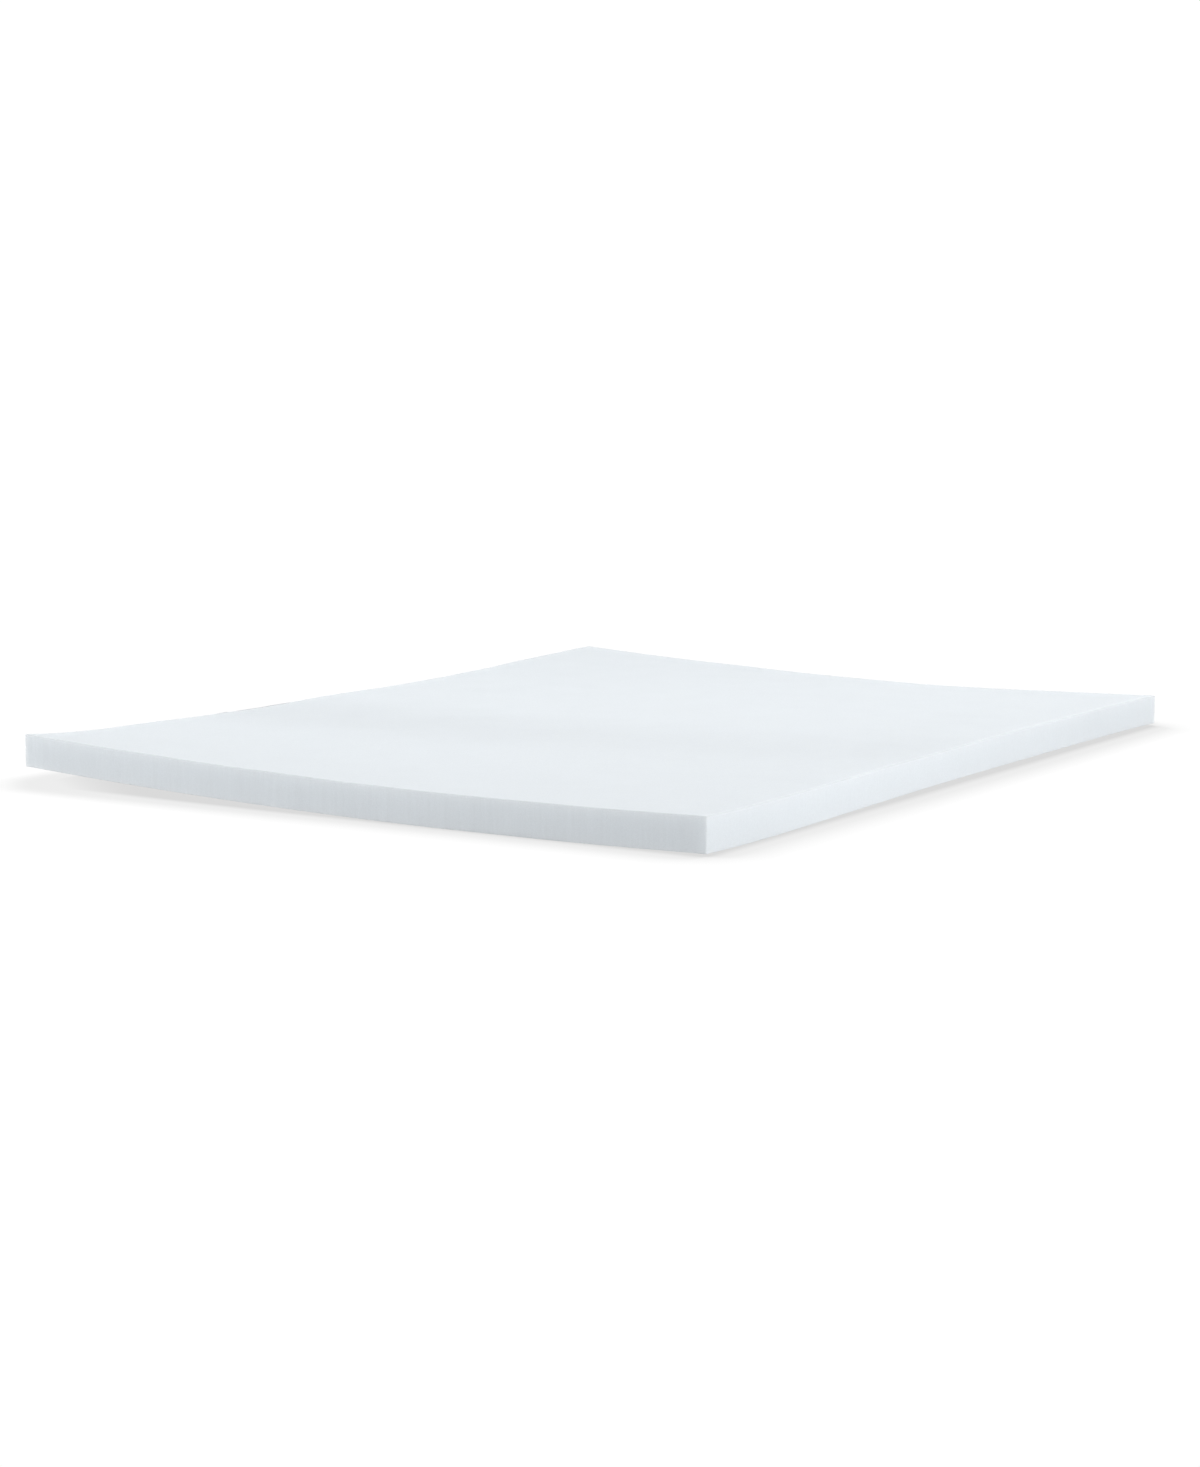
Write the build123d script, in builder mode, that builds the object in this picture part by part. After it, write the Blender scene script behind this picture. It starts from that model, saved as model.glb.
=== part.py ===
from build123d import *
import os

# Bare memory foam mattress: one solid slab of slow-recovery foam with no cover, sawn from a poured
# block and sold rolled up. It lies on the floor and keeps some of the roll, so its left edge curls
# up, most of all at its two corners. A blank law label is glued to its far end, at mid-thickness.
#
# Millimetres. The origin is on the floor under the middle of the slab. +X runs across the width,
# +Y along the length from the front end to the far end, and +Z is up.

# Slab
width = 1524.0
length = 2032.0
thickness = 63.5

# Curl. The slab lies flat between a curl on its left and a lower one on its right. The left one
# reaches in past the middle at the two ends, and bends most sharply at the front.
stations = (-1.0, -0.7, -0.3, 0.15, 0.6, 1.0)  # places from front to far end, in half lengths
left_lifts = (37.0, 21.0, 19.5, 18.5, 27.0, 41.0)  # of the left edge's underside, off the floor
right_lifts = (5.5, 3.0, 8.5, 11.0, 11.0, 7.5)
left_curl_starts = (0.5, 0.1, 0.0, 0.0, 0.05, 0.2)  # in half widths from the middle
left_curl_powers = (2.0, 1.7, 1.6, 1.6, 1.6, 1.5)  # 1 would be a flat ramp, 2 is a parabola
right_curl_start = 0.45
right_curl_power = 1.6
settle = 1.0  # how much the slab's own weight flattens the foam that bears on the floor
points_across = 13

# Law label: the smallest size that labelling rules allow, in spun-bonded sheet
label_width = 76.2
label_height = 50.8
label_thickness = 0.2
label_offset = 380.0  # from the middle of the far end towards the right
adhesive_thickness = 0.15
adhesive_margin = 3.0  # bare border between the glue's edge and the label's


def curl(place, x):
    """How high the foam stands off the floor at x, before its weight flattens it, on the
    cross-section at that place in the list of stations."""
    across = 2 * x / width
    left_start = left_curl_starts[place]
    left_reach = max(0.0, left_start - across) / (1 + left_start)
    right_reach = max(0.0, across - right_curl_start) / (1 - right_curl_start)
    left = left_lifts[place] * left_reach ** left_curl_powers[place]
    right = right_lifts[place] * right_reach**right_curl_power
    return left + right


def spread(count):
    """Evenly spaced places across the slab, from its left edge to its right."""
    return [width * (step / (count - 1) - 0.5) for step in range(count)]


# The slab is lofted through its cross-sections a little low, then cut off flat at the floor.
with BuildPart() as foam_slab:
    for place, station in enumerate(stations):
        with BuildSketch(Plane.XZ.offset(-station * length / 2)):
            with BuildLine():
                lifts = [(x, curl(place, x) - settle) for x in spread(points_across)]
                underside = Spline(*lifts)
                top = Spline(*[(x, z + thickness) for x, z in lifts])
                Line(underside @ 0, top @ 0)
                Line(underside @ 1, top @ 1)
            make_face()
    loft()
    split(bisect_by=Plane.XY, keep=Keep.TOP)
foam_slab.part.label = "foam_slab"

# The far end is a flat upright face, and the label lies on it at half its height.
far_end = length / 2
far_place = len(stations) - 1
label_level = thickness / 2 - settle + curl(far_place, label_offset)
label_middle = Vector(label_offset, far_end, label_level)

with BuildPart() as label_adhesive:
    with BuildSketch(Plane(label_middle, x_dir=(-1, 0, 0), z_dir=(0, 1, 0))):
        Rectangle(label_width - 2 * adhesive_margin, label_height - 2 * adhesive_margin)
    extrude(amount=adhesive_thickness)
label_adhesive.part.label = "label_adhesive"

label_back = label_middle + Vector(0, adhesive_thickness, 0)

with BuildPart() as law_label:
    with BuildSketch(Plane(label_back, x_dir=(-1, 0, 0), z_dir=(0, 1, 0))):
        Rectangle(label_width, label_height)
    extrude(amount=label_thickness)
law_label.part.label = "law_label"

os.makedirs("parts", exist_ok=True)
export_step(foam_slab.part, "parts/foam_slab.step")
export_step(label_adhesive.part, "parts/label_adhesive.step")
export_step(law_label.part, "parts/law_label.step")
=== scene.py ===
from math import cos, pi, radians

import bmesh
import bpy
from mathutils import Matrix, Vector


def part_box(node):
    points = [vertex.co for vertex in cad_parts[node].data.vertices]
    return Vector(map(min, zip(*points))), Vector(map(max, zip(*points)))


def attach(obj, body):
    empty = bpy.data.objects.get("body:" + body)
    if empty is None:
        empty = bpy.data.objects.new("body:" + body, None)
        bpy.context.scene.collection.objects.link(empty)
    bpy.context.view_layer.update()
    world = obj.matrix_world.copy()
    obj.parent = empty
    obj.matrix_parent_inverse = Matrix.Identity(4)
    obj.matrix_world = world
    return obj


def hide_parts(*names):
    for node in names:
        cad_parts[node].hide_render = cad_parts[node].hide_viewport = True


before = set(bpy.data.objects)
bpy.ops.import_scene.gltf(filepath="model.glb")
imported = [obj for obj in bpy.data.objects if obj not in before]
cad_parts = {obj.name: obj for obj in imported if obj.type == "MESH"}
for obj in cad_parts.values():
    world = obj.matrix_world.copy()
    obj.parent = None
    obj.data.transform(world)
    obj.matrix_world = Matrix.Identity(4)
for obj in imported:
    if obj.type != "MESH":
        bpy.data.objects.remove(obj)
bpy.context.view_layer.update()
scene = bpy.context.scene


# ---------------------------------------------------------------------------------------------
# The foam slab: one piece of slow-recovery foam, sawn from a poured block with a long straight
# blade, with no cover. It was most likely sold rolled up, as its left edge curls off the floor.
# ---------------------------------------------------------------------------------------------

slab_low, slab_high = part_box("foam_slab")
slab_middle = (slab_low + slab_high) / 2
slab_size = slab_high - slab_low
cells_across = 18
cells_along = 24
tuck = 0.001  # how far the box stops short of the sawn sides while it takes up the curl
start_gap = 0.01  # how far the box starts out above and below the slab
smoothing = 3  # times that each cell is halved
upper_corner = 0.0025  # radius of the corners round the top and down the four upright edges
lower_corner = 0.001  # radius of the corners round the underside


def start_piece():
    """Puts everything down, so that the next operator acts on its own piece alone."""
    if bpy.context.object and bpy.context.object.mode != "OBJECT":
        bpy.ops.object.mode_set(mode="OBJECT")
    bpy.ops.object.select_all(action="DESELECT")


def apply_modifier(piece, kind, **settings):
    """Adds a modifier to the active piece, sets it up and applies it."""
    modifier = piece.modifiers.new(kind.lower(), kind)
    for name, value in settings.items():
        setattr(modifier, name, value)
    bpy.ops.object.modifier_apply(modifier=modifier.name)


def weigh(piece, name, weight):
    """Makes a vertex group that holds weight(place, normal) at each vertex."""
    group = piece.vertex_groups.new(name=name)
    for vertex in piece.data.vertices:
        group.add([vertex.index], weight(vertex.co, vertex.normal), "REPLACE")
    return name


def select_edges(piece, wanted):
    """Selects the edges that pass the test, and nothing else, in edit mode."""
    mesh = bmesh.from_edit_mesh(piece.data)
    bpy.ops.mesh.select_all(action="DESELECT")
    for edge in mesh.edges:
        if wanted(edge):
            edge.select_set(True)
    bmesh.update_edit_mesh(piece.data)


def is_on_top(normal):
    """True on the slab's upper face, curled edges and all."""
    return normal.z > 0.5


def is_underneath(normal):
    """True on the slab's lower face, curled edges and all."""
    return normal.z < -0.5


def is_sawn_corner(edge):
    """True where two of the slab's six faces meet."""
    return edge.is_manifold and edge.calc_face_angle() > radians(50)


def is_upper_corner(edge):
    """True on the slab's top and upright corners: the ones round its underside are left out."""
    return is_sawn_corner(edge) and not any(is_underneath(face.normal) for face in edge.link_faces)


# The slab starts as a coarse sheet, drawn up into a box round the whole of the curled shape.
start_piece()
bpy.ops.mesh.primitive_grid_add(x_subdivisions=cells_across, y_subdivisions=cells_along, size=1)
slab = bpy.context.object
slab.name = "slab_of_memory_foam"
bpy.ops.object.mode_set(mode="EDIT")
bpy.ops.mesh.select_all(action="SELECT")
short_size = (slab_size.x - 2 * tuck, slab_size.y - 2 * tuck, 1)
bpy.ops.transform.resize(value=short_size)
bpy.ops.transform.translate(value=(slab_middle.x, slab_middle.y, slab_low.z - start_gap))
box_height = slab_size.z + 2 * start_gap
bpy.ops.mesh.extrude_region_move(TRANSFORM_OT_translate={"value": (0, 0, box_height)})
bpy.ops.mesh.select_all(action="SELECT")
bpy.ops.mesh.normals_make_consistent(inside=False)
bpy.ops.object.mode_set(mode="OBJECT")

# Its two big faces take up the curl, and its sides then move out to the slab's full size.
foam_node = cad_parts["foam_slab"]
upper = weigh(slab, "upper", lambda place, normal: 1 if place.z > slab_middle.z else 0)
lower = weigh(slab, "lower", lambda place, normal: 1 if place.z < slab_middle.z else 0)
for face_group, upward in ((upper, False), (lower, True)):
    apply_modifier(
        slab, "SHRINKWRAP", wrap_method="PROJECT", target=foam_node, vertex_group=face_group,
        use_project_z=True, use_positive_direction=upward, use_negative_direction=not upward,
    )
bpy.ops.object.mode_set(mode="EDIT")
bpy.ops.mesh.select_all(action="SELECT")
full_size = (slab_size.x / short_size[0], slab_size.y / short_size[1], 1)
bpy.ops.transform.resize(value=full_size, center_override=slab_middle)

# Creases hold its corners while it is smoothed, and they are rounded after that.
select_edges(slab, is_sawn_corner)
bpy.ops.transform.edge_crease(value=1)
bpy.ops.object.mode_set(mode="OBJECT")
apply_modifier(slab, "SUBSURF", levels=smoothing, render_levels=smoothing)
bpy.ops.object.mode_set(mode="EDIT")
select_edges(slab, is_upper_corner)
bpy.ops.mesh.bevel(offset=upper_corner, segments=3, profile=0.5, affect="EDGES")
select_edges(slab, is_sawn_corner)
bpy.ops.mesh.bevel(offset=lower_corner, segments=2, profile=0.5, affect="EDGES")
bpy.ops.object.mode_set(mode="OBJECT")

# A shallow trough crosses the top, a little askew, most likely from the pressure of the roll.
trough_depth = 0.003
trough_reach = 0.33  # from the middle of the trough to where the slab is level again
trough_left = -0.325  # where the middle of the trough meets the left edge
trough_right = -0.12
trough_fade = 0.5  # how much of its depth is gone at the right edge


def trough_weight(place, normal):
    """1 along the middle of the trough at the left, falling smoothly to 0 at its sides."""
    across = (place.x - slab_low.x) / slab_size.x
    middle = trough_left + (trough_right - trough_left) * across
    away = min(1, abs(place.y - middle) / trough_reach)
    return (1 + cos(pi * away)) / 2 * (1 - trough_fade * across) if is_on_top(normal) else 0


# No sawn face is quite true: the top and the sides waver slowly, and more quickly but by less.
slow_waver_length = 0.3
slow_waver_height = 0.003
quick_waver_length = 0.09
quick_waver_height = 0.0012
label_low, label_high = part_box("law_label")
label_clear = 0.03  # bare foam round the label that stays as flat as its glue needs
far_face = slab_high.y - 0.001  # only the far end's own vertices lie beyond this


def waver_weight(place, normal):
    """1 where the foam is free to waver: not underneath, nor behind the label."""
    beside_label = label_low.x - label_clear < place.x < label_high.x + label_clear
    return 0 if is_underneath(normal) or (beside_label and place.y > far_face) else 1


trough = weigh(slab, "trough", trough_weight)
free = weigh(slab, "free", waver_weight)
slow_waver = bpy.data.textures.new("slow_waver", "CLOUDS")
slow_waver.noise_scale = slow_waver_length
slow_waver.noise_depth = 1
quick_waver = bpy.data.textures.new("quick_waver", "CLOUDS")
quick_waver.noise_scale = quick_waver_length
quick_waver.noise_depth = 0
apply_modifier(
    slab, "DISPLACE", vertex_group=trough, direction="Z", mid_level=0, strength=-trough_depth,
)
for waver, height in ((slow_waver, slow_waver_height), (quick_waver, quick_waver_height)):
    apply_modifier(
        slab, "DISPLACE", vertex_group=free, texture=waver, texture_coords="LOCAL", strength=height,
    )
bpy.ops.object.shade_smooth()
apply_modifier(slab, "WEIGHTED_NORMAL", mode="FACE_AREA", weight=100)

# The foam's skin reads from this attribute how deep in the trough each place is, to paint the trough's
# shade into its colour.
painted_trough_weight = slab.data.attributes.new("painted_trough_weight", "FLOAT", "POINT")
for vertex in slab.data.vertices:
    painted_trough_weight.data[vertex.index].value = trough_weight(vertex.co, vertex.normal)


def add_node(tree, kind, **settings):
    """Adds a node to a material or group and sets its properties and its plain input values."""
    node = tree.nodes.new("ShaderNode" + kind)
    for name, value in settings.items():
        socket = name.replace("_", " ")
        if socket in node.inputs:
            node.inputs[socket].default_value = value
        else:
            setattr(node, name, value)
    return node


def maths(tree, operation, *terms):
    """A sum of one to three terms, each of them a plain number or another node's output."""
    node = add_node(tree, "Math", operation=operation)
    for socket, term in zip(node.inputs, terms):
        if isinstance(term, bpy.types.NodeSocket):
            tree.links.new(term, socket)
        else:
            socket.default_value = term
    return node.outputs["Value"]


def shade(tree, colour, level):
    """A plain colour, made lighter and darker by a level that changes over the surface."""
    node = add_node(tree, "VectorMath", operation="SCALE")
    node.inputs[0].default_value = colour
    tree.links.new(level, node.inputs["Scale"])
    return node.outputs["Vector"]


# Mottling: soft patches, lighter and darker than the level of 1, on the foam, glue and label.
mottling = bpy.data.node_groups.new("mottling", "ShaderNodeTree")
mottling.interface.new_socket("Place", in_out="INPUT", socket_type="NodeSocketVector")
mottling.interface.new_socket("Fineness", in_out="INPUT", socket_type="NodeSocketFloat")
mottling.interface.new_socket("Depth", in_out="INPUT", socket_type="NodeSocketFloat")
mottling.interface.new_socket("Level", in_out="OUTPUT", socket_type="NodeSocketFloat")
mottling_in = mottling.nodes.new("NodeGroupInput").outputs
mottling_patches = add_node(mottling, "TexNoise", Detail=2.0, Roughness=0.6)
mottling.links.new(mottling_in["Place"], mottling_patches.inputs["Vector"])
mottling.links.new(mottling_in["Fineness"], mottling_patches.inputs["Scale"])
mottling_swing = maths(mottling, "SUBTRACT", mottling_patches.outputs["Fac"], 0.5)
mottling_swing = maths(mottling, "MULTIPLY", mottling_swing, mottling_in["Depth"])
mottling_out = mottling.nodes.new("NodeGroupOutput").inputs
mottling.links.new(maths(mottling, "ADD", mottling_swing, 1.0), mottling_out["Level"])


def mottle(tree, place, patches_per_metre, depth):
    """Places the mottling group in a material, with its own fineness and depth."""
    node = add_node(tree, "Group", node_tree=mottling)
    node.inputs["Fineness"].default_value = patches_per_metre
    node.inputs["Depth"].default_value = depth
    tree.links.new(place, node.inputs["Place"])
    return node.outputs["Level"]


# The foam's skin: fine open pores all over, and the blade's upright marks on the four sawn sides.
foam_colour = (0.672, 0.71, 0.74)
broad_patches_per_metre = 9
broad_patch_depth = 0.025
fine_patches_per_metre = 190
fine_patch_depth = 0.06
pores_per_metre = 1100
pore_bottom_painted_shade = 0.925  # painted shade in each pore: how light the foam is at the bottom of a pore
pore_painted_shade_rise = 0.12  # how much lighter it gets from there to the rim, so that pores read as shaded pits
blade_marks_per_metre = 160
blade_mark_stretch = 0.06  # a mark runs right up the side, so it is long in Z and short across
blade_mark_shade = 0.08  # how much lighter and darker the marks are than the foam between
side_marks = 0.3  # the marks on the two long sides, next to those on the two ends
trough_painted_shade = 0.054  # painted shade: how much darker its colour is along the middle of the trough, on top of the dip's own shade
painted_corner_shade = 0.11  # painted shade on the corners: how much darker they are, so their rounding shows no bright line
light_reach = 0.04  # how far light wanders inside the foam before it comes out

foam = bpy.data.materials.new("memory_foam")
foam.use_nodes = True
foam_tree = foam.node_tree
foam_place = add_node(foam_tree, "TexCoord").outputs["Object"]
pores = add_node(foam_tree, "TexVoronoi", Scale=pores_per_metre)
foam_tree.links.new(foam_place, pores.inputs["Vector"])
mark_place = add_node(foam_tree, "Mapping", Scale=(1, 1, blade_mark_stretch))
foam_tree.links.new(foam_place, mark_place.inputs["Vector"])
marks = add_node(foam_tree, "TexNoise", Scale=blade_marks_per_metre, Detail=3.0, Roughness=0.6)
foam_tree.links.new(mark_place.outputs["Vector"], marks.inputs["Vector"])

# Which way each place faces tells the sawn sides and the corners from the rest.
facing = add_node(foam_tree, "SeparateXYZ")
foam_tree.links.new(add_node(foam_tree, "NewGeometry").outputs["Normal"], facing.inputs["Vector"])
sideways = maths(foam_tree, "ABSOLUTE", facing.outputs["X"])
endways = maths(foam_tree, "ABSOLUTE", facing.outputs["Y"])
upwards = maths(foam_tree, "ABSOLUTE", facing.outputs["Z"])
sawn = maths(foam_tree, "ADD", endways, maths(foam_tree, "MULTIPLY", sideways, side_marks))
mark_height = maths(foam_tree, "SUBTRACT", marks.outputs["Fac"], 0.5)
mark_height = maths(foam_tree, "MULTIPLY", mark_height, sawn)
# Painted shade: the colour is darker midway round each rounded corner, where a side turns into the top
# or underside.
corner = maths(foam_tree, "MULTIPLY", maths(foam_tree, "ADD", endways, sideways), upwards)
painted_corner_dark = maths(foam_tree, "MULTIPLY", corner, 2 * painted_corner_shade)  # corner is at most a half
in_trough = add_node(foam_tree, "Attribute", attribute_name="painted_trough_weight").outputs["Fac"]
# Painted shade along the trough: darkest along its middle, and fading towards the right edge.
trough_painted_dark = maths(foam_tree, "MULTIPLY", in_trough, trough_painted_shade)

skin_level = mottle(foam_tree, foam_place, broad_patches_per_metre, broad_patch_depth)
for level in (
    mottle(foam_tree, foam_place, fine_patches_per_metre, fine_patch_depth),
    # painted shade: darker at the bottom of each pore than at its rim
    maths(foam_tree, "MULTIPLY_ADD", pores.outputs["Distance"], pore_painted_shade_rise, pore_bottom_painted_shade),
    maths(foam_tree, "MULTIPLY_ADD", mark_height, blade_mark_shade, 1),
    maths(foam_tree, "SUBTRACT", 1, trough_painted_dark),
    maths(foam_tree, "SUBTRACT", 1, painted_corner_dark),
):
    skin_level = maths(foam_tree, "MULTIPLY", skin_level, level)

mark_relief = add_node(foam_tree, "Bump", Strength=0.2, Distance=0.001)
foam_tree.links.new(mark_height, mark_relief.inputs["Height"])
pore_relief = add_node(foam_tree, "Bump", Strength=0.5, Distance=0.0003)
foam_tree.links.new(pores.outputs["Distance"], pore_relief.inputs["Height"])
foam_tree.links.new(mark_relief.outputs["Normal"], pore_relief.inputs["Normal"])

foam_shader = foam_tree.nodes["Principled BSDF"]
foam_shader.inputs["Roughness"].default_value = 0.95
foam_shader.inputs["Specular IOR Level"].default_value = 0.2
foam_shader.inputs["Subsurface Weight"].default_value = 0.4
foam_shader.inputs["Subsurface Radius"].default_value = (1, 1, 1)
foam_shader.inputs["Subsurface Scale"].default_value = light_reach
foam_tree.links.new(shade(foam_tree, foam_colour, skin_level), foam_shader.inputs["Base Color"])
foam_tree.links.new(pore_relief.outputs["Normal"], foam_shader.inputs["Normal"])
slab.data.materials.append(foam)
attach(slab, "root")
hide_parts("foam_slab")


# ---------------------------------------------------------------------------------------------
# The glue behind the label: a thin film of hot-melt, pale amber, printed on the label's back and
# pressed against the foam while it was warm.
# ---------------------------------------------------------------------------------------------

glue_low, glue_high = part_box("label_adhesive")
glue_amber = (0.62, 0.5, 0.27)
thick_patches_per_metre = 60  # where the film lies thick and thin
thick_patch_depth = 0.5
bubbles_per_metre = 900
bubble_depth = 0.3

glue = bpy.data.materials.new("hot_melt_glue")
glue.use_nodes = True
glue_tree = glue.node_tree
glue_place = add_node(glue_tree, "TexCoord").outputs["Object"]
thick_patches = mottle(glue_tree, glue_place, thick_patches_per_metre, thick_patch_depth)
bubbles = mottle(glue_tree, glue_place, bubbles_per_metre, bubble_depth)
glue_level = maths(glue_tree, "MULTIPLY", thick_patches, bubbles)
glue_relief = add_node(glue_tree, "Bump", Strength=0.4, Distance=0.0001)
glue_tree.links.new(glue_level, glue_relief.inputs["Height"])
glue_shader = glue_tree.nodes["Principled BSDF"]
glue_shader.inputs["Roughness"].default_value = 0.35
glue_tree.links.new(shade(glue_tree, glue_amber, glue_level), glue_shader.inputs["Base Color"])
glue_tree.links.new(glue_relief.outputs["Normal"], glue_shader.inputs["Normal"])
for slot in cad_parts["label_adhesive"].material_slots:
    slot.material = glue


# ---------------------------------------------------------------------------------------------
# The law label: a blank slip of spun-bonded sheet, cut square and glued flat to the far end. Its
# glue stops short of its edges, so they lift a little, most of all at the corners.
# ---------------------------------------------------------------------------------------------

label_width = label_high.x - label_low.x
label_height = label_high.z - label_low.z
label_thickness = label_high.y - label_low.y
label_middle = (label_low + label_high) / 2
label_lift = 0.0012  # how far its corners stand off the foam
label_cell = 0.0015
smooth_angle = radians(40)  # its faces are shaded as one surface up to this, so its rim stays crisp

start_piece()
bpy.ops.mesh.primitive_grid_add(
    x_subdivisions=round(label_width / label_cell), y_subdivisions=round(label_height / label_cell),
    size=1, location=(label_middle.x, label_low.y, label_middle.z), rotation=(-pi / 2, 0, 0),
)
label = bpy.context.object
label.name = "blank_law_label"
label.scale = (label_width, label_height, 1)
bpy.ops.object.transform_apply(location=True, rotation=True, scale=True)


def unglued(place, normal):
    """0 over the glue, rising to 1 at the label's corners."""
    beside = max(glue_low.x - place.x, place.x - glue_high.x, 0) / (glue_low.x - label_low.x)
    above = max(glue_low.z - place.z, place.z - glue_high.z, 0) / (glue_low.z - label_low.z)
    return min(1, (beside**2 + above**2) / 2)


label_edges = weigh(label, "unglued", unglued)
apply_modifier(
    label, "DISPLACE", vertex_group=label_edges, direction="Y", mid_level=0, strength=label_lift,
)
apply_modifier(label, "SOLIDIFY", thickness=label_thickness, offset=1)
bpy.ops.object.shade_smooth_by_angle(angle=smooth_angle)

# Its sheet is a web of fine fibres, which lie mostly one way and show as faint streaks.
label_cream = (0.8, 0.79, 0.76)
fibres_per_metre = 700
fibre_stretch = 0.35
fibre_lie = radians(35)  # which way most of them run, off upright
fibre_shade = 0.16
cloudy_patches_per_metre = 45
cloudy_patch_depth = 0.06

label_sheet = bpy.data.materials.new("spun_bonded_sheet")
label_sheet.use_nodes = True
label_tree = label_sheet.node_tree
label_place = add_node(label_tree, "TexCoord").outputs["Object"]
fibre_place = add_node(label_tree, "Mapping", Scale=(1, 1, fibre_stretch), Rotation=(0, fibre_lie, 0))
label_tree.links.new(label_place, fibre_place.inputs["Vector"])
fibres = add_node(
    label_tree, "TexNoise", Scale=fibres_per_metre, Detail=4.0, Roughness=0.7, Distortion=2.5,
)
label_tree.links.new(fibre_place.outputs["Vector"], fibres.inputs["Vector"])
fibre_level = maths(label_tree, "SUBTRACT", fibres.outputs["Fac"], 0.5)
fibre_level = maths(label_tree, "MULTIPLY_ADD", fibre_level, fibre_shade, 1)
cloudiness = mottle(label_tree, label_place, cloudy_patches_per_metre, cloudy_patch_depth)
label_level = maths(label_tree, "MULTIPLY", fibre_level, cloudiness)
fibre_relief = add_node(label_tree, "Bump", Strength=0.4, Distance=0.0001)
label_tree.links.new(fibres.outputs["Fac"], fibre_relief.inputs["Height"])
label_shader = label_tree.nodes["Principled BSDF"]
label_shader.inputs["Roughness"].default_value = 0.55
label_tree.links.new(shade(label_tree, label_cream, label_level), label_shader.inputs["Base Color"])
label_tree.links.new(fibre_relief.outputs["Normal"], label_shader.inputs["Normal"])
label.data.materials.append(label_sheet)
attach(label, "root")
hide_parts("law_label")


# ---------------------------------------------------------------------------------------------
# The floor: a plain white sweep. It glows softly on to the slab, and seen straight it is pure
# white but for the shade that gathers where the slab is close to it.
# ---------------------------------------------------------------------------------------------

floor_size = 60
floor_grey = (0.4, 0.4, 0.4, 1)
floor_glow = 0.41  # what it adds to the light on the slab
wide_shade_reach = 0.12  # how near the slab has to be to shade the floor softly
near_shade_reach = 0.03  # how near it has to be for the floor to be as dark as it gets

start_piece()
bpy.ops.mesh.primitive_plane_add(size=floor_size)
floor = bpy.context.object
floor.name = "studio_floor"
floor_white = bpy.data.materials.new("floor_white")
floor_white.use_nodes = True
floor_tree = floor_white.node_tree
floor_shader = floor_tree.nodes["Principled BSDF"]
floor_shader.inputs["Base Color"].default_value = floor_grey
floor_shader.inputs["Emission Color"].default_value = (1, 1, 1, 1)
floor_shader.inputs["Emission Strength"].default_value = floor_glow
floor_shader.inputs["Roughness"].default_value = 1


def floor_shade(reach, shut_in, in_the_open, darkest, lightest):
    """The floor's level of white, from how shut in each place on it is within a short reach."""
    openness = add_node(floor_tree, "AmbientOcclusion", Distance=reach, samples=16).outputs["AO"]
    level = add_node(
        floor_tree, "MapRange",
        From_Min=shut_in, From_Max=in_the_open, To_Min=darkest, To_Max=lightest,
    )
    floor_tree.links.new(openness, level.inputs["Value"])
    return level.outputs["Result"]


wide_shade = floor_shade(
    wide_shade_reach, shut_in=0.6, in_the_open=0.98, darkest=0.7, lightest=1.02,
)
near_shade = floor_shade(
    near_shade_reach, shut_in=0.45, in_the_open=0.95, darkest=0.7, lightest=0.85,
)
floor_seen = add_node(floor_tree, "Emission")
floor_tree.links.new(maths(floor_tree, "MAXIMUM", wide_shade, near_shade), floor_seen.inputs["Strength"])
floor_mix = add_node(floor_tree, "MixShader")
floor_light = add_node(floor_tree, "LightPath")
floor_tree.links.new(floor_light.outputs["Is Camera Ray"], floor_mix.inputs["Fac"])
floor_tree.links.new(floor_shader.outputs["BSDF"], floor_mix.inputs[1])
floor_tree.links.new(floor_seen.outputs["Emission"], floor_mix.inputs[2])
floor_output = floor_tree.nodes["Material Output"]
floor_tree.links.new(floor_mix.outputs["Shader"], floor_output.inputs["Surface"])
floor.data.materials.append(floor_white)


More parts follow.
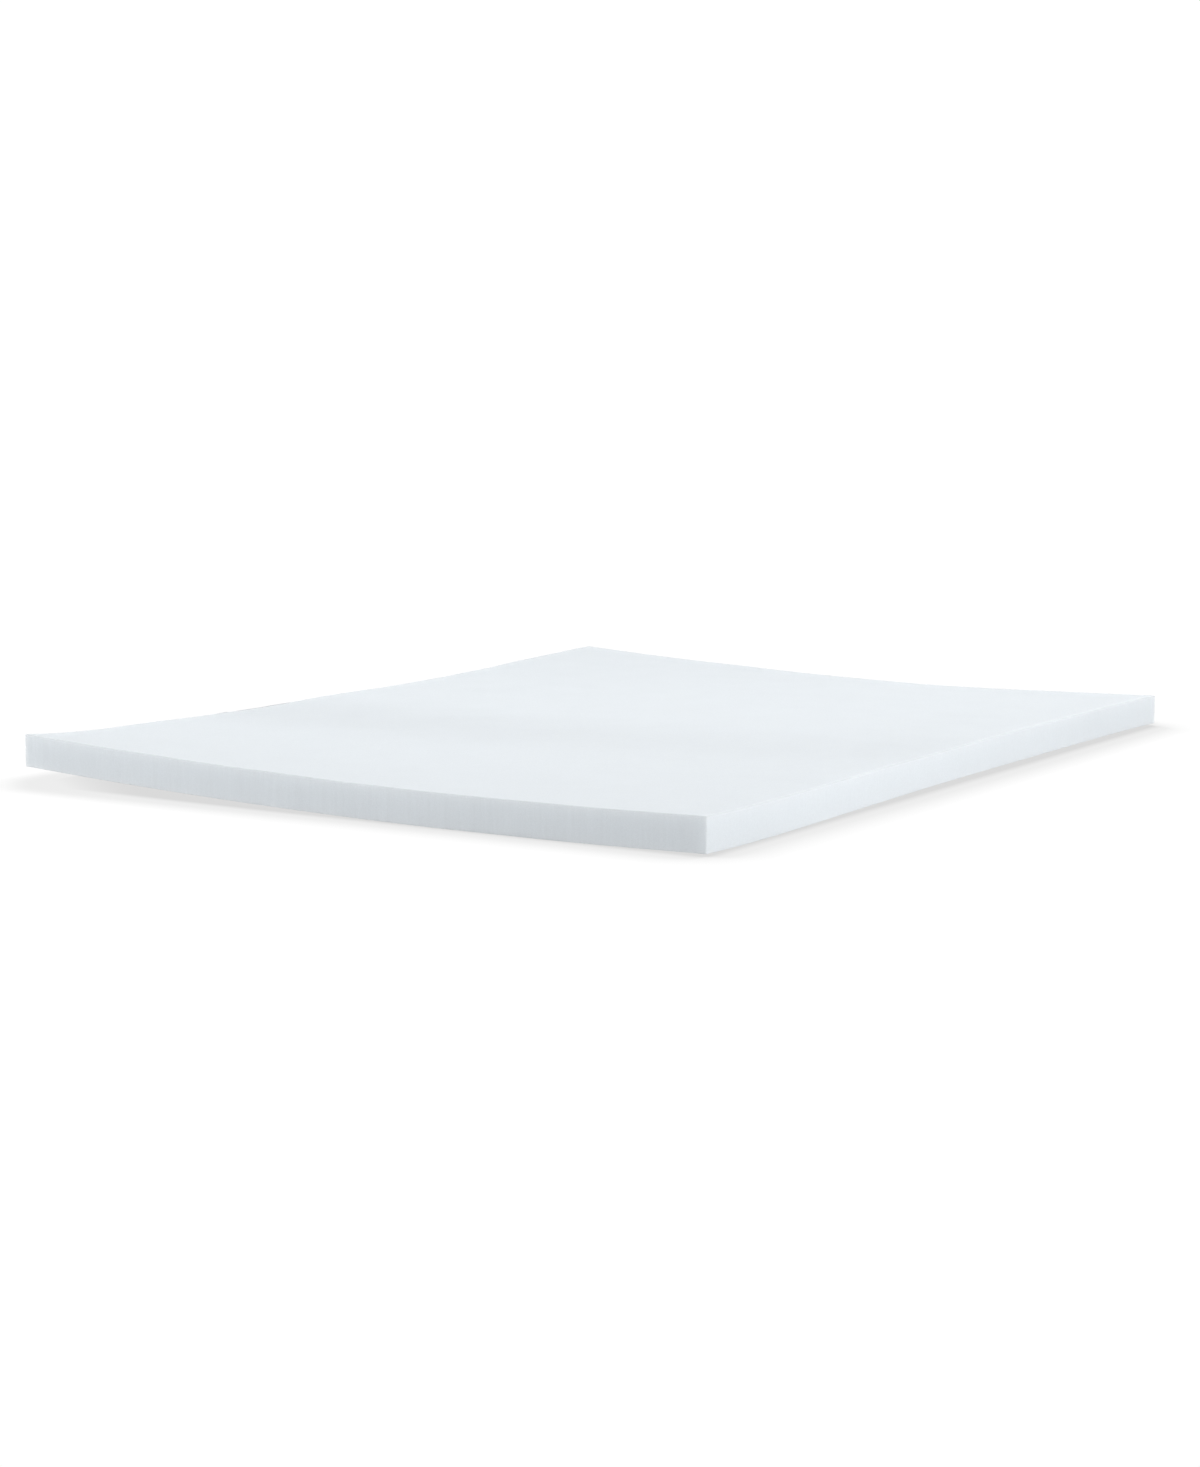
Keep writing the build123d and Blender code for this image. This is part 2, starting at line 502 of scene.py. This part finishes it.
# ---------------------------------------------------------------------------------------------
# The light: a white room with square softboxes. The strongest are behind the slab and to its
# right, so its front end lies in its own shade.
# ---------------------------------------------------------------------------------------------

# Each softbox's place, the length of its side and its watts.
softboxes = {
    "back": ((0, 4.2, 2.5), 2.0, 70),
    "back_right": ((3.0, 3.0, 2.0), 2.0, 80),
    "overhead": ((0, 0, 3.2), 2.5, 48),
    "left": ((-3.2, 0, 2.0), 2.0, 53),
    "front": ((0, -3.6, 2.0), 1.5, 42),
    "front_left_low": ((-2.4, -2.6, 0.7), 0.8, 20),
    "front_right": ((2.8, -2.6, 1.8), 1.5, 9),
    "right_low": ((3.0, -0.8, 0.7), 1.0, 29),
}
for name, (place, side, watts) in softboxes.items():
    softbox_light = bpy.data.lights.new(name, "AREA")
    softbox_light.size = side
    softbox_light.energy = watts
    softbox = bpy.data.objects.new(name, softbox_light)
    scene.collection.objects.link(softbox)
    softbox.location = place
    softbox.rotation_euler = (-softbox.location).to_track_quat("-Z", "Y").to_euler()

room_light = 0.104  # the room's light on the slab
room_seen = 1.02  # the room as seen straight, which is pure white

room = bpy.data.worlds.new("white_room")
scene.world = room
room.use_nodes = True
room_tree = room.node_tree
room_rays = add_node(room_tree, "LightPath")
room_level = add_node(room_tree, "MapRange", To_Min=room_light, To_Max=room_seen)
room_tree.links.new(room_rays.outputs["Is Camera Ray"], room_level.inputs["Value"])
room_background = room_tree.nodes["Background"]
room_background.inputs["Color"].default_value = (1, 1, 1, 1)
room_tree.links.new(room_level.outputs["Result"], room_background.inputs["Strength"])
scene.view_settings.view_transform = "Standard"


# ---------------------------------------------------------------------------------------------
# The camera: a long lens, low down and well out from the slab's near right corner. It looks at
# the floor under the slab, a little past its middle.
# ---------------------------------------------------------------------------------------------

looks_at = Vector((-0.2134, 0.2024, 0.0042))
camera_data = bpy.data.cameras.new("camera")
camera_data.lens = 66.97
camera = bpy.data.objects.new("camera", camera_data)
scene.collection.objects.link(camera)
camera.location = (2.9744, -4.8517, 0.7771)
camera.rotation_mode = "QUATERNION"
camera.rotation_quaternion = (looks_at - camera.location).to_track_quat("-Z", "Y")
scene.camera = camera
